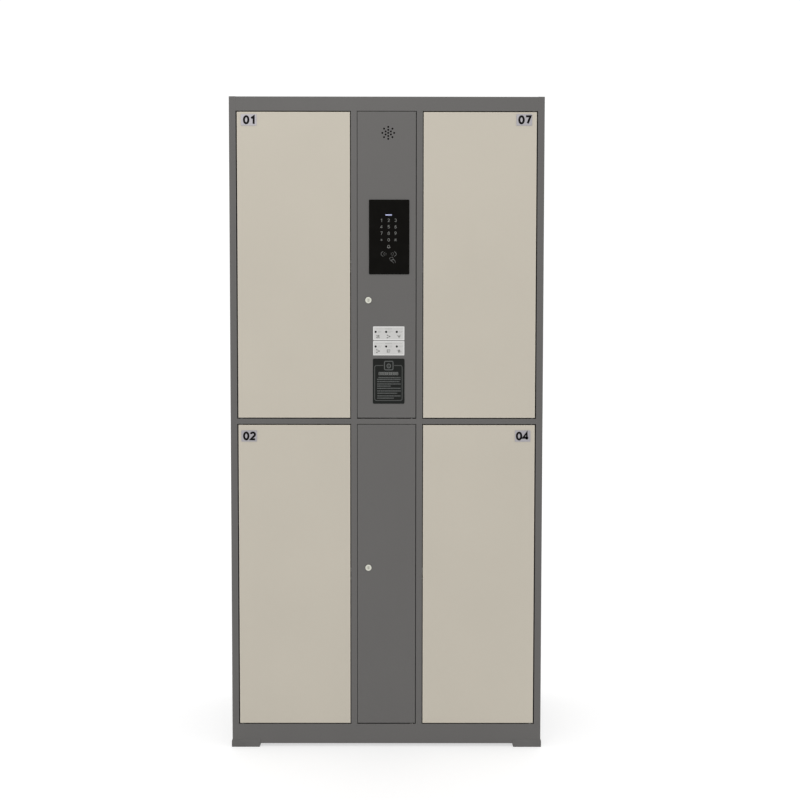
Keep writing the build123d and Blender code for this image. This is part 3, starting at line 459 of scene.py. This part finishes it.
class Print(Piece):
    """A thin layer of ink on an upright surface, which faces the wall where thick is negative."""

    def __init__(self, name, body, face_y, material, slot_name, thick=PRINT):
        super().__init__(name, body, material, slot_name)
        self.face_y = face_y
        self.thick = thick

    def fill(self, outline):
        """Closed prism between the surface and the top of the ink."""
        back = [self.work.verts.new((x, self.face_y, z)) for x, z in outline]
        front = [self.work.verts.new((x, self.face_y - self.thick, z)) for x, z in outline]
        self.work.faces.new(front)
        self.work.faces.new(list(reversed(back)))
        for index in range(len(outline)):
            after = (index + 1) % len(outline)
            self.work.faces.new((front[index], back[index], back[after], front[after]))

    def stroke(self, points, width, closed=False):
        """A line of one width along the points."""
        sides = ribbon(points, width, closed)
        ahead = sides[1:] + sides[:1] if closed else sides[1:]
        for (left_a, right_a), (left_b, right_b) in zip(sides, ahead):
            self.fill([right_a, right_b, left_b, left_a])

    def disc(self, centre, radius, steps=24):
        """A round dot."""
        self.fill(ring(centre, (radius, radius), steps))


class Fitting(Piece):
    """A small turned or moulded piece, or a set of the same."""

    def turned(self, profile, place, axis, steps=24):
        """Turn a profile about an axis that starts at place.

        Each step of the profile is (radius, height along the axis, number of sides or 0 for round).
        """
        frame_of_axis = Vector(axis).to_track_quat("Z", "Y").to_matrix()
        rings = []
        for radius, height, sides in profile:
            loop = []
            for step in range(steps):
                angle = 2 * math.pi * step / steps
                reach = radius
                if sides:
                    sector = 2 * math.pi / sides
                    reach = radius / math.cos(angle % sector - sector / 2)
                local = Vector((reach * math.cos(angle), reach * math.sin(angle), height))
                loop.append(self.work.verts.new(Vector(place) + frame_of_axis @ local))
            rings.append(loop)
        for lower, upper in zip(rings, rings[1:]):
            for index in range(steps):
                after = (index + 1) % steps
                self.work.faces.new((lower[index], lower[after], upper[after], upper[index]))
        self.work.faces.new(list(reversed(rings[0])))
        self.work.faces.new(rings[-1])

    def block(self, low, high, edge):
        """Moulded block between two corners, with its edges rounded off."""
        outline = box_outline((low[0], high[0]), (low[2], high[2]))
        solid = bmesh.new()
        near = [solid.verts.new((x, low[1], z)) for x, z in outline]
        far = [solid.verts.new((x, high[1], z)) for x, z in outline]
        solid.faces.new(near)
        solid.faces.new(list(reversed(far)))
        for index in range(4):
            after = (index + 1) % 4
            solid.faces.new((near[index], far[index], far[after], near[after]))
        bmesh.ops.bevel(solid, geom=solid.edges[:], offset=edge, segments=2, profile=0.6, affect="EDGES")
        part = bpy.data.meshes.new("block")
        solid.to_mesh(part)
        solid.free()
        self.work.from_mesh(part)
        bpy.data.meshes.remove(part)


# ---------------------------------------------------------------- figures and stand-in text
ICON_LINE = 0.13                # width of an icon's lines, as a share of its size


def spoke(angle, reach=0.3):
    """A stroke through the middle of a figure, at an angle in degrees."""
    across = reach * math.cos(math.radians(angle))
    up = reach * math.sin(math.radians(angle))
    return [(across, 0.5 + up), (-across, 0.5 - up)]


# Strokes of each figure, as (points, closed), in a box that is 1 tall, with its middle at x = 0.
FIGURES = {
    "0": [(ring((0, 0.5), (0.26, 0.41)), True)],
    "1": [([(-0.2, 0.68), (0.09, 0.88), (0.09, 0.02)], False)],
    "2": [(arc((0, 0.68), (0.25, 0.23), 165, -38) + [(-0.24, 0.1), (0.28, 0.1)], False)],
    "3": [(arc((0, 0.7), (0.22, 0.2), 150, -88), False), (arc((0, 0.29), (0.26, 0.21), 88, -150), False)],
    "4": [([(0.13, 0.09), (0.13, 0.91), (-0.29, 0.3), (0.31, 0.3)], False)],
    "5": [([(0.24, 0.91), (-0.18, 0.91), (-0.22, 0.54)] + arc((0, 0.34), (0.26, 0.25), 120, -150), False)],
    "6": [(ring((0, 0.33), (0.25, 0.24)), True), (arc((0.24, 0.34), (0.49, 0.57), 178, 95), False)],
    "7": [([(-0.26, 0.91), (0.27, 0.91), (-0.06, 0.09)], False)],
    "8": [(ring((0, 0.7), (0.2, 0.2)), True), (ring((0, 0.29), (0.25, 0.21)), True)],
    "9": [(ring((0, 0.67), (0.25, 0.24)), True), (arc((-0.24, 0.66), (0.49, 0.57), -2, -85), False)],
    "*": [(spoke(90), False), (spoke(30), False), (spoke(150), False)],
    "#": [([(-0.2, 0.1), (-0.12, 0.9)], False), ([(0.12, 0.1), (0.2, 0.9)], False),
          ([(-0.36, 0.34), (0.34, 0.34)], False), ([(-0.34, 0.66), (0.36, 0.66)], False)],
}


def draw_figure(layer, figure, centre, height, weight):
    """One digit or key symbol, centred, with its stroke weight as a share of its height."""
    foot_middle = (centre[0], centre[1] - 0.5 * height)
    for points, closed in FIGURES[figure]:
        layer.stroke(placed(points, foot_middle, height), weight * height, closed)


def draw_words(layer, x_range, z, height, seed, longest, gap=1.1 * MM):
    """A line of stand-in text: short bars of different lengths, as text looks from a few paces."""
    chance = random.Random(seed)
    x = x_range[0]
    while x < x_range[1] - gap:
        end = min(x_range[1], x + longest * chance.uniform(0.3, 1.0))
        layer.fill(box_outline((x, end), around(z, height / 2)))
        x = end + gap


# ---------------------------------------------------------------- printed details
def number_tags(inks):
    """Bold black number on each door's plate, set a little to one side of its middle."""
    height = 23.8 * MM
    weight = 0.25
    half_pitch = 9.4 * MM
    shifts = {"01": 2.4 * MM, "02": 1.1 * MM, "07": 1.6 * MM, "04": -0.8 * MM}
    for number in PARCEL_DOORS:
        low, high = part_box(f"door_{number}_number_tag")
        layer = Print(f"tag_{number}_figures", f"door_{number}", low.y, inks["black"], "black_plastic")
        middle_x = (low.x + high.x) / 2 + shifts[number]
        middle_z = (low.z + high.z) / 2
        for figure, x in zip(number, around(middle_x, half_pitch)):
            draw_figure(layer, figure, (x, middle_z), height, weight)
        layer.done()


def keypad_keys(inks, face, middle_x, top):
    """Dim figures on the twelve keys, and the bell of the call key under them."""
    layer = Print("keypad_figures", "control_door", face, inks["key_grey"], "white_label")
    figure_height = 9.6 * MM
    columns = (-20.3 * MM, 0, 19.2 * MM)
    rows = ((57.7 * MM, "123"), (75.9 * MM, "456"), (93.9 * MM, "789"), (112.6 * MM, "*0#"))
    for drop, figures in rows:
        for x, figure in zip(columns, figures):
            weight = 0.095 if figure in "*#" else 0.125
            draw_figure(layer, figure, (middle_x + x, top - drop), figure_height, weight)

    bell_middle = (middle_x, top - 131 * MM)
    half_bell = [(4, -3.4), (2.9, -1.6), (2.7, 1.4), (1.5, 3.2)]
    bell = [(-x, z) for x, z in half_bell] + [(0, 3.8)] + list(reversed(half_bell))
    clapper = [(-1.4, -4.8), (1.4, -4.8)]
    layer.stroke(placed(bell, bell_middle, MM), 1.2 * MM, closed=True)
    layer.stroke(placed(clapper, bell_middle, MM), 1.1 * MM)
    layer.done()


def keypad_reader_mark(inks, face, middle_x, top):
    """Waves to both sides of the card reader, with a hand that holds a card to it."""
    mark = Print("keypad_symbols", "control_door", face, inks["key_dim"], "white_label")
    reader = (middle_x, top - 152 * MM)
    waves = (((21.5, 9.6), 1.2), ((13.8, 6.0), 0.8), ((8.4, 3.9), 0.6))
    for radii, width in waves:
        for start, end in ((135, 225), (-45, 45)):
            mark.stroke(placed(arc((0, 0), radii, start, end), reader, MM), width * MM)
    card = [(2.2, -11.4), (10.8, -8.4), (13.6, -15), (5, -18)]
    wrist = (6, -19.6)
    back_of_hand = [wrist, (9.6, -17.2), (14.6, -15.6), (18, -19.4), (18.8, -24.6)]
    thumb = [wrist, (10.6, -21.6), (14.2, -25.6)]
    mark.stroke(placed(card, reader, MM), 0.9 * MM, closed=True)
    mark.stroke(placed(back_of_hand, reader, MM), 1.0 * MM)
    mark.stroke(placed(thumb, reader, MM), 1.0 * MM)
    mark.done()


def keypad_status_light(inks, face, middle_x, top):
    """Lit bar above the keys."""
    x_range = (middle_x - 9.3 * MM, middle_x + 8.9 * MM)
    z_range = (top - 44.4 * MM, top - 41.2 * MM)
    bar = Print("status_light", "control_door", face, inks["status"], "white_label")
    bar.fill(rounded_box(x_range, z_range, 1.0 * MM))
    bar.done()


def keypad_print(inks):
    """Everything on the touch glass, in line with the middle column of keys."""
    low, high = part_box("keypad_glass")
    middle_x = (low.x + high.x) / 2 - 1.35 * MM
    keypad_keys(inks, low.y, middle_x, high.z)
    keypad_reader_mark(inks, low.y, middle_x, high.z)
    keypad_status_light(inks, low.y, middle_x, high.z)


def parcel_icon(layer, centre, size):
    """Parcel on a hand truck."""
    truck = [(-0.5, 0.3), (-0.25, 0.3), (-0.25, -0.2)]
    layer.fill(placed(box_outline((-0.1, 0.42), (-0.12, 0.4)), centre, size))
    layer.fill(placed(box_outline((-0.5, 0.5), (-0.36, -0.2)), centre, size))
    layer.stroke(placed(truck, centre, size), ICON_LINE * size)
    for wheel in placed([(-0.2, -0.46), (0.3, -0.46)], centre, size):
        layer.disc(wheel, 0.1 * size, 18)


def code_icon(layer, centre, size):
    """Three joined dots."""
    low_dot, end_dot, high_dot = placed([(-0.3, -0.36), (0.38, 0.0), (-0.3, 0.36)], centre, size)
    for dot in (high_dot, low_dot, end_dot):
        layer.disc(dot, 0.17 * size, 18)
    layer.stroke([high_dot, end_dot, low_dot], ICON_LINE * size)


def drop_icon(layer, centre, size):
    """Something let go over a slot."""
    body = [(-0.34, 0.08), (0.0, -0.45), (0.38, 0.08), (0.2, 0.26), (-0.12, 0.26)]
    layer.fill(placed(body, centre, size))
    for line in ([(-0.55, 0.42), (-0.3, 0.14)], [(0.16, 0.3), (0.5, 0.42)]):
        layer.stroke(placed(line, centre, size), ICON_LINE * size)


def door_icon(layer, centre, size):
    """Open door with a round parcel behind it."""
    frame_line = [(-0.2, 0.38), (0.38, 0.38), (0.38, 0.0)]
    parcel = ring((0.12, -0.16), (0.24, 0.24), 18)
    layer.fill(placed(box_outline((-0.44, -0.2), (-0.44, 0.44)), centre, size))
    layer.stroke(placed(frame_line, centre, size), ICON_LINE * size)
    layer.stroke(placed(parcel, centre, size), ICON_LINE * size, closed=True)


def phone_icon(layer, centre, size):
    """Telephone between two short lines."""
    layer.fill(placed(rounded_box((-0.3, 0.3), (-0.42, 0.42), 0.2, 4), centre, size))
    for line in ([(-0.5, 0.34), (-0.5, 0.02)], [(0.5, 0.02), (0.5, -0.34)]):
        layer.stroke(placed(line, centre, size), ICON_LINE * size)


def label_print(inks):
    """Two instruction labels: a title line, three numbered steps and their symbols on each."""
    low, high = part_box("instruction_labels")
    face = low.y
    borders = Print("label_borders", "control_door", face, inks["label_pale"], "white_label", PRINT / 2)
    dots = Print("label_step_dots", "control_door", face, inks["black"], "black_plastic")
    words = Print("label_words", "control_door", face, inks["label_grey"], "duct_plastic")
    symbols = Print("label_symbols", "control_door", face, inks["label_dark"], "duct_plastic")
    label_z_ranges = ((high.z - 39.3 * MM, high.z), (low.z, low.z + 40.4 * MM))
    columns = (7.1 * MM, 37 * MM, 67 * MM)
    icons = ((parcel_icon, code_icon, drop_icon), (code_icon, door_icon, phone_icon))
    inset = 1.3 * MM
    for row, (foot, head) in enumerate(label_z_ranges):
        edge = rounded_box((low.x + inset, high.x - inset), (foot + inset, head - inset), 1 * MM, 3)
        borders.stroke(edge, 1.6 * MM, closed=True)
        title_z = head - 6.9 * MM
        rule_before = (low.x + 8.5 * MM, low.x + 33.5 * MM)
        title = (low.x + 34 * MM, low.x + 55 * MM)
        rule_after = (low.x + 56.5 * MM, low.x + 82.5 * MM)
        draw_words(words, rule_before, title_z, 0.8 * MM, seed=21 + row, longest=5 * MM)
        draw_words(words, title, title_z, 2.0 * MM, seed=11 + row, longest=5 * MM, gap=0.6 * MM)
        draw_words(words, rule_after, title_z, 0.8 * MM, seed=31 + row, longest=5 * MM)
        for column, offset in enumerate(columns):
            x = low.x + offset
            start = x + 6.5 * MM
            step = row * len(columns) + column
            upper_line = (start, start + 11 * MM)
            lower_line = (start, start + 8 * MM)
            dots.disc((x, head - 15.4 * MM), 3.1 * MM)
            draw_words(words, upper_line, head - 14 * MM, 1.6 * MM, seed=40 + step, longest=4 * MM)
            draw_words(words, lower_line, head - 16.8 * MM, 1.2 * MM, seed=70 + step, longest=3 * MM)
            icons[row][column](symbols, (x + 6.4 * MM, head - 28.4 * MM), 10.4 * MM)
    for layer in (borders, dots, words, symbols):
        layer.done()


def notice_outline(inks, face, x_range, z_range, gap):
    """Line with rounded corners round the notice, open at the top over the gap, from x to x."""
    left, right = x_range
    foot, head = z_range
    radius = 5 * MM
    path = [(gap[1], head)]
    for centre, start in (((right - radius, head - radius), 90), ((right - radius, foot + radius), 0),
                          ((left + radius, foot + radius), -90), ((left + radius, head - radius), 180)):
        path += arc(centre, (radius, radius), start, start - 90, 6)
    path += [(gap[0], head)]
    line = Print("notice_outline", "control_door", face, inks["notice_dim"], "duct_plastic")
    line.stroke(path, 1.9 * MM)
    line.done()


def notice_badge(inks, face, middle, half):
    """Square badge with a keyhole in it."""
    x, z = middle
    frame_line = rounded_box(around(x, half), around(z, half), 3.4 * MM)
    keyhole = ring((x, z - 1.0 * MM), (4.9 * MM, 5.6 * MM))
    slot = [(x, z - 3.2 * MM), (x, z + 1.4 * MM)]
    badge = Print("notice_badge", "control_door", face, inks["notice_grey"], "duct_plastic")
    badge.stroke(frame_line, 2.5 * MM, closed=True)
    badge.stroke(keyhole, 2.7 * MM, closed=True)
    badge.stroke(slot, 1.6 * MM)
    badge.done()


def notice_heading(inks, face, left, middle_z):
    """Row of plain square signs, which stand for the heading's characters."""
    count = 9
    pitch = 6.1 * MM
    width = 5.2 * MM
    half_height = 3.6 * MM
    heading = Print("notice_heading", "control_door", face, inks["notice_bright"], "duct_plastic")
    for sign in range(count):
        x = left + pitch * sign
        middle_x = x + width / 2
        edge = rounded_box((x, x + width), around(middle_z, half_height), 0.8 * MM, 2)
        heading.stroke(edge, 1.2 * MM, closed=True)
        heading.stroke([(x, middle_z), (x + width, middle_z)], 1.1 * MM)
        if sign % 2:
            heading.stroke([(middle_x, z) for z in around(middle_z, half_height)], 1.1 * MM)
    heading.done()


def notice_text(inks, face, left, right, top):
    """Ten lines of stand-in text."""
    lines = (                   # fall below top, indent and space left at the end
        (53.6 * MM, 2.9 * MM, 0), (58.8 * MM, 0, 0), (65.0 * MM, 0, 4.3 * MM), (71.6 * MM, 0, 0),
        (77.6 * MM, 0, 28.3 * MM), (84.0 * MM, 0, 0), (91.4 * MM, 0, 0), (97.8 * MM, 0, 10.3 * MM),
        (105.4 * MM, 0, 0), (111.7 * MM, 0, 20.3 * MM),
    )
    text = Print("notice_text", "control_door", face, inks["notice_grey"], "duct_plastic")
    for count, (drop, indent, short) in enumerate(lines):
        x_range = (left + indent, right - short)
        draw_words(text, x_range, top - drop, 3.0 * MM, seed=100 + count, longest=4.2 * MM, gap=0.7 * MM)
    text.done()


def notice_print(inks):
    """Black notice: a rounded outline that a badge breaks, a heading and lines of text."""
    low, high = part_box("notice_plate")
    face = low.y
    head = high.z - 19.3 * MM
    badge_middle = ((low.x + high.x) / 2 + 0.1 * MM, head - 0.2 * MM)
    badge_half = 12.1 * MM
    outline_x = (low.x + 5.1 * MM, high.x - 6.7 * MM)
    outline_z = (low.z + 9.1 * MM, head)
    notice_outline(inks, face, outline_x, outline_z, around(badge_middle[0], badge_half + 3.3 * MM))
    notice_badge(inks, face, badge_middle, badge_half)
    notice_heading(inks, face, low.x + 17 * MM, high.z - 42.2 * MM)
    notice_text(inks, face, low.x + 12.2 * MM, high.x - 10.2 * MM, high.z)


# ---------------------------------------------------------------- fittings inside the cabinet
def screw_head(radius, height):
    """Profile of a domed head with a hexagon socket, from the seat to the bottom of the socket."""
    socket = 0.45 * radius
    return (
        (radius, 0, 0),
        (radius, 0.4 * height, 0),
        (0.9 * radius, 0.78 * height, 0),
        (0.68 * radius, 0.96 * height, 0),
        (0.56 * radius, height, 0),
        (socket, 0.94 * height, 6),
        (socket, 0.3 * height, 6),
        (0.15 * socket, 0.2 * height, 0),
    )


def lock_case_screws(paints):
    """Four socket screws in the corners of each electric lock case."""
    low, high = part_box("lock_cases")
    inset = 7 * MM
    middle_above_bolt = 13.5 * MM
    half_spread = 30 * MM
    head = screw_head(3.4 * MM, 2.2 * MM)
    screws = Fitting("lock_case_screws", "cabinet", paints["pivot_steel"], "pivot_steel")
    for number in PARCEL_DOORS:
        bolt_low, bolt_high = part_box(f"lock_{number}_bolt")
        outward = 1 if bolt_low.x > 0 else -1
        face_x = high.x if outward > 0 else low.x
        middle_z = bolt_high.z + middle_above_bolt
        for y in (low.y + inset, high.y - inset):
            for z in around(middle_z, half_spread):
                screws.turned(head, (face_x, y, z), (outward, 0, 0))
    screws.done()


def controller_lid_screws(paints):
    """Socket screws in the four corners of the door controller's lid."""
    low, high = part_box("controller_unit")
    inset = 8 * MM
    head = screw_head(3 * MM, 1.8 * MM)
    screws = Fitting("controller_lid_screws", "cabinet", paints["pivot_steel"], "pivot_steel")
    for x in (low.x + inset, high.x - inset):
        for z in (low.z + inset, high.z - inset):
            screws.turned(head, (x, low.y, z), (0, -1, 0))
    screws.done()


def controller_lamps(inks):
    """Row of status lamps on the door controller, one for each parcel door."""
    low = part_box("controller_unit")[0]
    first_x = low.x + 22 * MM
    pitch = 9 * MM
    z = low.z + 30 * MM
    dome = ((2.2 * MM, 0, 0), (2.2 * MM, 0.8 * MM, 0), (1.7 * MM, 1.5 * MM, 0), (0.6 * MM, 1.9 * MM, 0))
    lamps = Fitting("controller_lamps", "cabinet", inks["lamp_green"], "white_label")
    for number in range(len(PARCEL_DOORS)):
        lamps.turned(dome, (first_x + number * pitch, low.y, z), (0, -1, 0), 20)
    lamps.done()


def supply_terminals(paints):
    """Row of screw terminals in the step at the foot of the power supply."""
    low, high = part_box("power_supply")
    side_wall = 5 * MM
    step_depth = 16 * MM
    terminal_count = 7
    rib_half = 0.6 * MM
    rib_proud = 2.5 * MM
    strip_low = Vector((low.x + side_wall, low.y + 4 * MM, low.z + 0.5 * MM))
    strip_high = Vector((high.x - side_wall, low.y + step_depth, low.z + 12 * MM))
    pitch = (strip_high.x - strip_low.x) / terminal_count
    strip = Fitting("supply_terminal_strip", "cabinet", paints["black_plastic"], "black_plastic")
    strip.block(strip_low, strip_high, 0.6 * MM)
    for number in range(terminal_count + 1):
        x = min(max(strip_low.x + pitch * number, strip_low.x + rib_half), strip_high.x - rib_half)
        rib_low = (x - rib_half, strip_low.y - rib_proud, strip_low.z)
        rib_high = (x + rib_half, strip_low.y + 1 * MM, strip_high.z)
        strip.block(rib_low, rib_high, 0.25 * MM)
    strip.done()
    head = screw_head(3.2 * MM, 1.8 * MM)
    middle_z = (strip_low.z + strip_high.z) / 2
    screws = Fitting("supply_terminal_screws", "cabinet", paints["lock_metal"], "zinc_steel")
    for number in range(terminal_count):
        x = strip_low.x + pitch * (number + 0.5)
        screws.turned(head, (x, strip_low.y, middle_z), (0, -1, 0), 18)
    screws.done()


def inlet_blades(paints):
    """Plated sleeves on the three blades of the mains inlet."""
    low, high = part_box("power_inlet")
    middle = (low + high) / 2
    half_x = 1.15 * MM
    half_z = 2.15 * MM
    length = 15.15 * MM
    cavity_floor = high.y - 17 * MM
    sleeves = Fitting("inlet_blades", "cabinet", paints["lock_metal"], "zinc_steel")
    for x, z in ((-7 * MM, -2 * MM), (0, 2 * MM), (7 * MM, -2 * MM)):
        sleeve_low = (middle.x + x - half_x, cavity_floor, middle.z + z - half_z)
        sleeve_high = (middle.x + x + half_x, cavity_floor + length, middle.z + z + half_z)
        sleeves.block(sleeve_low, sleeve_high, 0.5 * MM)
    sleeves.done()


# ---------------------------------------------------------------- circuit board behind the keypad
def board_tracks(inks, x_range, z_range, face):
    """Copper tracks under the green resist, each of one slanting and one upright run."""
    left, right = x_range
    foot, head = z_range
    start_margin = 8 * MM
    end_margin = 4 * MM
    shortest = 2 * MM
    chance = random.Random(4)
    tracks = Print("keypad_board_tracks", "control_door", face, inks["board_track"], "duct_plastic", -PRINT)
    for _ in range(22):
        start_x = chance.uniform(left + start_margin, right - start_margin)
        start_z = chance.uniform(foot + start_margin, head - start_margin)
        across = chance.uniform(-26, 26) * MM
        up = chance.uniform(-30, 30) * MM
        bend_x = min(max(start_x + across, left + end_margin), right - end_margin)
        bend_z = start_z + 0.3 * abs(across)
        end_z = min(max(bend_z + up, foot + end_margin), head - end_margin)
        start, bend, end = Vector((start_x, start_z)), Vector((bend_x, bend_z)), Vector((bend_x, end_z))
        if (end - bend).length > shortest and (bend - start).length > shortest:
            tracks.stroke([tuple(start), tuple(bend), tuple(end)], 0.7 * MM)
    tracks.done()


def board_chips(paints, x_range, z_range, face):
    """Black chips, placed by shares of the board's width and height."""
    sizes = (                   # share across, share up, width and height in mm
        (0.52, 0.62, 15, 15), (0.3, 0.36, 9, 12), (0.76, 0.3, 7, 5), (0.24, 0.8, 6, 5),
        (0.78, 0.84, 10, 6), (0.66, 0.44, 4, 3), (0.2, 0.55, 4, 3), (0.84, 0.6, 4, 8),
    )
    thick = 1.8 * MM
    chips = Fitting("keypad_board_chips", "control_door", paints["black_plastic"], "black_plastic")
    for across, up, width, tall in sizes:
        x = x_range[0] + (x_range[1] - x_range[0]) * across
        z = z_range[0] + (z_range[1] - z_range[0]) * up
        half_x = width / 2 * MM
        half_z = tall / 2 * MM
        chips.block((x - half_x, face, z - half_z), (x + half_x, face + thick, z + half_z), 0.35 * MM)
    chips.done()


def board_metal(paints, x_range, z_range, face):
    """Three can capacitors and the four corner screws."""
    left, right = x_range
    foot, head = z_range
    can = ((3 * MM, 0, 0), (3 * MM, 5.6 * MM, 0), (2.6 * MM, 6.2 * MM, 0), (0.8 * MM, 6.2 * MM, 0))
    screw = screw_head(2.8 * MM, 1.8 * MM)
    inset = 4.5 * MM
    metal = Fitting("keypad_board_capacitors", "control_door", paints["lock_metal"], "zinc_steel")
    for across, up in ((0.38, 0.17), (0.52, 0.17), (0.8, 0.72)):
        metal.turned(can, (left + (right - left) * across, face, foot + (head - foot) * up), (0, 1, 0))
    for x in (left + inset, right - inset):
        for z in (foot + inset, head - inset):
            metal.turned(screw, (x, face, z), (0, 1, 0))
    metal.done()


def board_socket(paints, x_range, z_range, face):
    """Six-way plug socket at the board's lower edge."""
    middle = (x_range[0] + x_range[1]) / 2
    foot = z_range[0]
    half_width = 11 * MM
    depth = 7 * MM
    ways = 6
    pitch = 3.2 * MM
    pin_half = 1 * MM
    socket = Fitting("keypad_board_socket", "control_door", paints["bush_plastic"], "bush_plastic")
    shell_low = (middle - half_width, face, foot + 4 * MM)
    shell_high = (middle + half_width, face + depth, foot + 11 * MM)
    socket.block(shell_low, shell_high, 0.5 * MM)
    for way in range(ways):
        x = middle + (way - (ways - 1) / 2) * pitch
        pin_low = (x - pin_half, face + depth - 0.5 * MM, foot + 5.5 * MM)
        pin_high = (x + pin_half, face + depth + 1 * MM, foot + 9.5 * MM)
        socket.block(pin_low, pin_high, 0.3 * MM)
    socket.done()


def keypad_board(paints, inks):
    """Circuit board in the open back of the keypad housing, with what is mounted on it."""
    low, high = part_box("keypad_housing")
    flange = 7.5 * MM
    board_thick = 1.6 * MM
    front_y = low.y + 9 * MM
    back_y = front_y + board_thick
    x_range = (low.x + flange, high.x - flange)
    z_range = (low.z + flange, high.z - flange)
    board = Fitting("keypad_board", "control_door", inks["board_green"], "duct_plastic")
    board.block((x_range[0], front_y, z_range[0]), (x_range[1], back_y, z_range[1]), 0.3 * MM)
    board.done()
    board_tracks(inks, x_range, z_range, back_y)
    board_chips(paints, x_range, z_range, back_y)
    board_metal(paints, x_range, z_range, back_y)
    board_socket(paints, x_range, z_range, back_y)


make_camera()
make_world()
make_key_light()
make_floor()

paints = make_paints()
paint_cad_nodes(paints)
inks = make_inks()
number_tags(inks)
keypad_print(inks)
label_print(inks)
notice_print(inks)
lock_case_screws(paints)
controller_lid_screws(paints)
controller_lamps(inks)
supply_terminals(paints)
inlet_blades(paints)
keypad_board(paints, inks)
